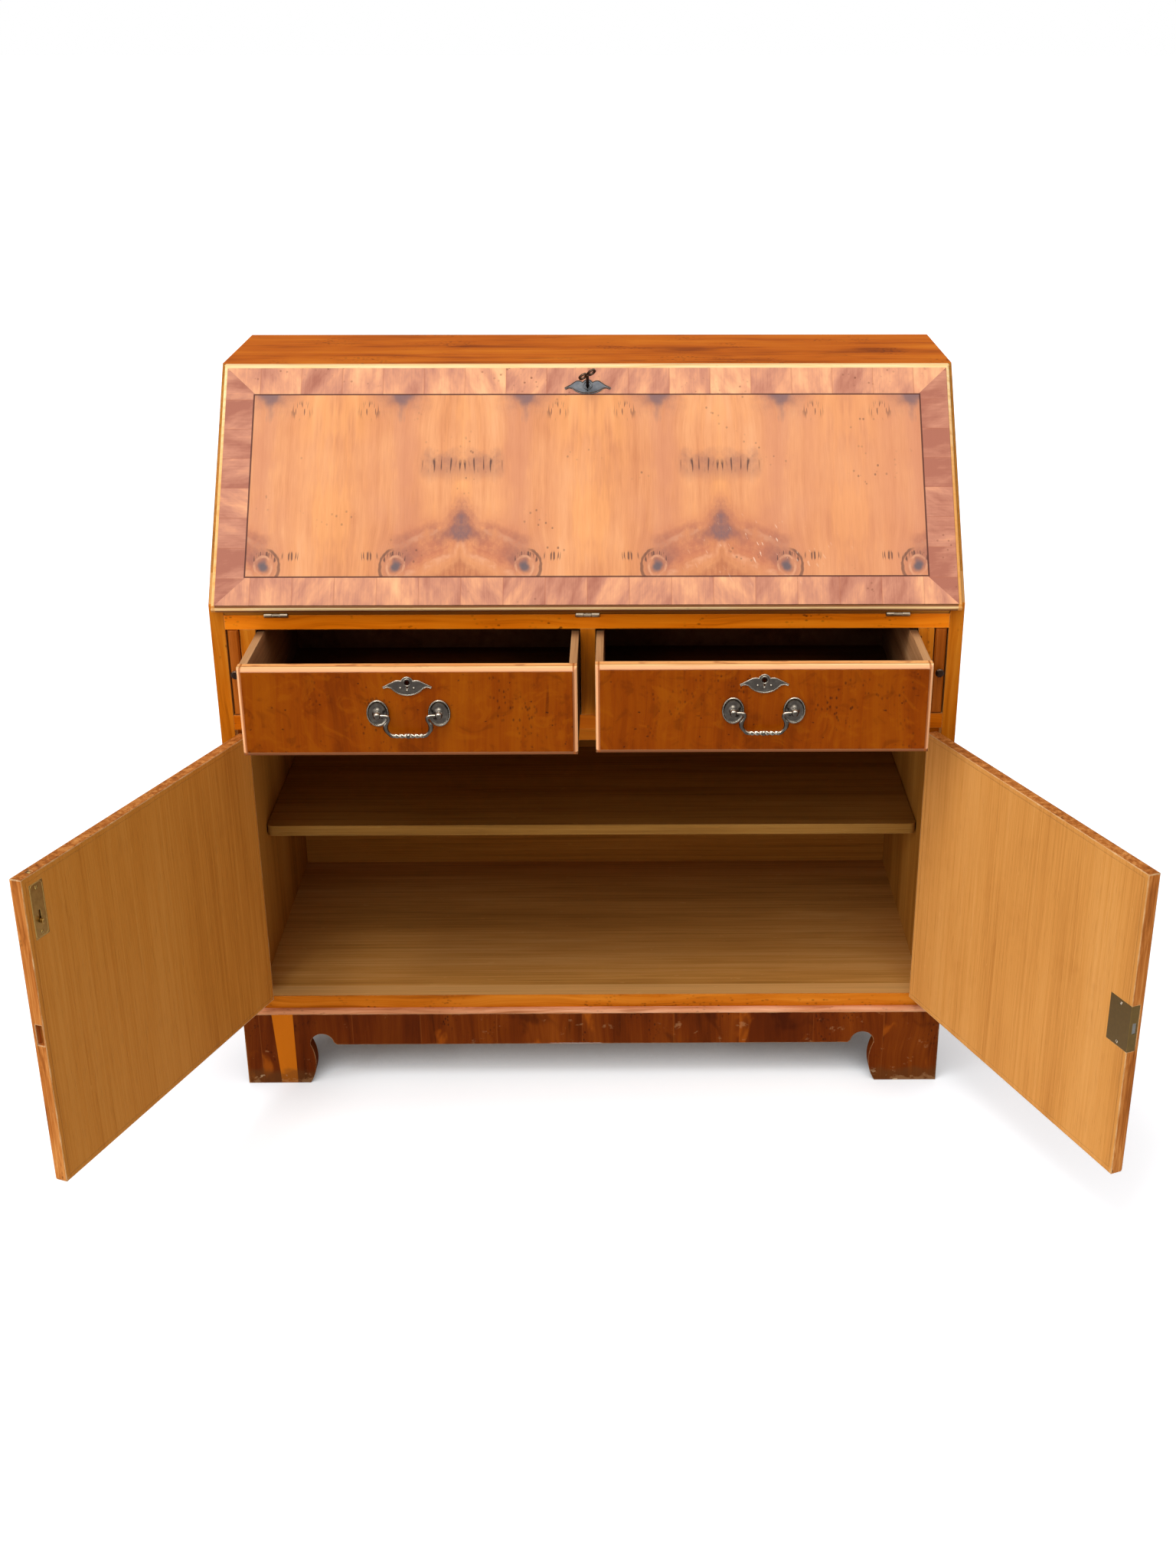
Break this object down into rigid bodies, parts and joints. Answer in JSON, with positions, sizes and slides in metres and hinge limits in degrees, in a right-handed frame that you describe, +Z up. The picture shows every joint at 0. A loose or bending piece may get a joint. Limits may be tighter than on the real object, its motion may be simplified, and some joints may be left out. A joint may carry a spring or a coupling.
{
  "type": "escritoire",
  "caption": "Yew-veneered fall-front writing bureau with a sloping fall on pull-out lopers, drawers with bail handles, a cupboard with hinged doors and a bracket-foot plinth.",
  "frame": {"origin": "on the floor, under the middle of the carcass's front plane", "axes": "+X to the right as seen from the front, +Y to the back, +Z up"},
  "size_m": [1.3164, 0.9092, 1.0098],
  "materials": {
    "fall_veneer": "satin",
    "case_veneer": "satin",
    "drawer_veneer": "satin",
    "door_veneer": "satin",
    "lipping": "satin",
    "plinth_wood": "satin",
    "inside_wood": "satin",
    "drawer_box_wood": "matte",
    "board": "matte",
    "leather": "matte",
    "brass": "satin",
    "bronze": "satin",
    "steel": "satin"
  },
  "bodies": {
    "carcass": {"side_panel_left": "case_veneer", "side_panel_right": "case_veneer", "top_board": "case_veneer", "back_panel": "board", "writing_board": "case_veneer", "drawer_rail": "case_veneer", "drawer_partitions": "case_veneer", "drawer_runners": "inside_wood", "door_stop_batten": "inside_wood", "bottom_board": "case_veneer", "shelf": "inside_wood", "shelf_pegs": "brass", "plinth_front": "plinth_wood", "plinth_side_left": "plinth_wood", "plinth_side_right": "plinth_wood", "plinth_back": "plinth_wood", "base_moulding": "plinth_wood", "carcass_hinge_leaves": "brass", "pigeonhole_shelf": "inside_wood", "pigeonhole_dividers": "inside_wood"},
    "fall": {"fall_panel": "fall_veneer", "fall_lipping": "lipping", "fall_leather": "leather", "fall_hinge_leaves": "brass", "fall_escutcheon": "bronze", "fall_lock_case": "brass"},
    "fall_key": {"fall_key": "steel"},
    "fall_lock_bolt": {"fall_lock_bolt": "brass"},
    "door_left": {"door_left_panel": "door_veneer", "door_left_lipping": "lipping", "door_left_hinge_leaves": "brass", "door_left_bolt_plate": "brass"},
    "door_left_bolt": {"door_left_bolt": "brass"},
    "door_right": {"door_right_panel": "door_veneer", "door_right_lipping": "lipping", "door_right_hinge_leaves": "brass", "door_lock_case": "brass", "door_escutcheon": "bronze"},
    "door_lock_bolt": {"door_lock_bolt": "brass"},
    "loper_left": {"loper_left": "case_veneer", "loper_left_knob": "bronze"},
    "loper_right": {"loper_right": "case_veneer", "loper_right_knob": "bronze"},
    "stationery_drawer_left": {"stationery_drawer_left": "inside_wood"},
    "stationery_drawer_right": {"stationery_drawer_right": "inside_wood"},
    "drawer_left": {"drawer_left_front": "drawer_veneer", "drawer_left_lipping": "lipping", "drawer_left_box": "drawer_box_wood", "drawer_left_bottom": "drawer_box_wood", "drawer_left_escutcheon": "bronze", "drawer_left_handle_posts": "bronze"},
    "drawer_left_bail": {"drawer_left_bail": "bronze"},
    "drawer_right": {"drawer_right_front": "drawer_veneer", "drawer_right_lipping": "lipping", "drawer_right_box": "drawer_box_wood", "drawer_right_bottom": "drawer_box_wood", "drawer_right_escutcheon": "bronze", "drawer_right_handle_posts": "bronze"},
    "drawer_right_bail": {"drawer_right_bail": "bronze"}
  },
  "joints": [
    {"name": "fall_swing", "type": "hinge", "parent": "carcass", "child": "fall", "pos_m": [0, 0, 0.72], "axis": [1, 0, 0], "range_deg": [0, 130]},
    {"name": "fall_key_turn", "type": "hinge", "parent": "fall", "child": "fall_key", "pos_m": [0, 0.19365, 0.98189], "axis": [0, -0.766, 0.6428], "range_deg": [0, 180]},
    {"name": "fall_bolt_throw", "type": "slide", "parent": "fall", "child": "fall_lock_bolt", "axis": [0, 0.6428, 0.766], "range_m": [0, 0.01]},
    {"name": "door_left_swing", "type": "hinge", "parent": "carcass", "child": "door_left", "pos_m": [-0.48025, -0.0038, 0.35], "axis": [0, 0, -1], "range_deg": [-111.8, 58.2]},
    {"name": "door_left_bolt_slide", "type": "slide", "parent": "door_left", "child": "door_left_bolt", "axis": [0, 0, 1], "range_m": [0, 0.012]},
    {"name": "door_right_swing", "type": "hinge", "parent": "carcass", "child": "door_right", "pos_m": [0.48025, -0.0038, 0.35], "axis": [0, 0, 1], "range_deg": [-113, 57]},
    {"name": "door_lock_throw", "type": "slide", "parent": "door_right", "child": "door_lock_bolt", "axis": [0.3907, -0.9205, 0], "range_m": [0, 0.008]},
    {"name": "drawer_left_slide", "type": "slide", "parent": "carcass", "child": "drawer_left", "axis": [0, -1, 0], "range_m": [-0.15, 0.13]},
    {"name": "drawer_left_bail_swing", "type": "hinge", "parent": "drawer_left", "child": "drawer_left_bail", "pos_m": [-0.2255, -0.1615, 0.639], "axis": [-1, 0, 0], "range_deg": [0, 95]},
    {"name": "drawer_right_slide", "type": "slide", "parent": "carcass", "child": "drawer_right", "axis": [0, -1, 0], "range_m": [-0.144, 0.136]},
    {"name": "drawer_right_bail_swing", "type": "hinge", "parent": "drawer_right", "child": "drawer_right_bail", "pos_m": [0.2255, -0.1555, 0.639], "axis": [-1, 0, 0], "range_deg": [0, 95]},
    {"name": "loper_left_slide", "type": "slide", "parent": "carcass", "child": "loper_left", "axis": [0, -1, 0], "range_m": [0, 0.3]},
    {"name": "stationery_left_slide", "type": "slide", "parent": "carcass", "child": "stationery_drawer_left", "axis": [0, -1, 0], "range_m": [0, 0.12]},
    {"name": "loper_right_slide", "type": "slide", "parent": "carcass", "child": "loper_right", "axis": [0, -1, 0], "range_m": [0, 0.3]},
    {"name": "stationery_right_slide", "type": "slide", "parent": "carcass", "child": "stationery_drawer_right", "axis": [0, -1, 0], "range_m": [0, 0.12]}
  ],
  "couplings": [
    {"joint": "fall_bolt_throw", "follows": "fall_key_turn", "m_per_rad": 0.003183}
  ]
}
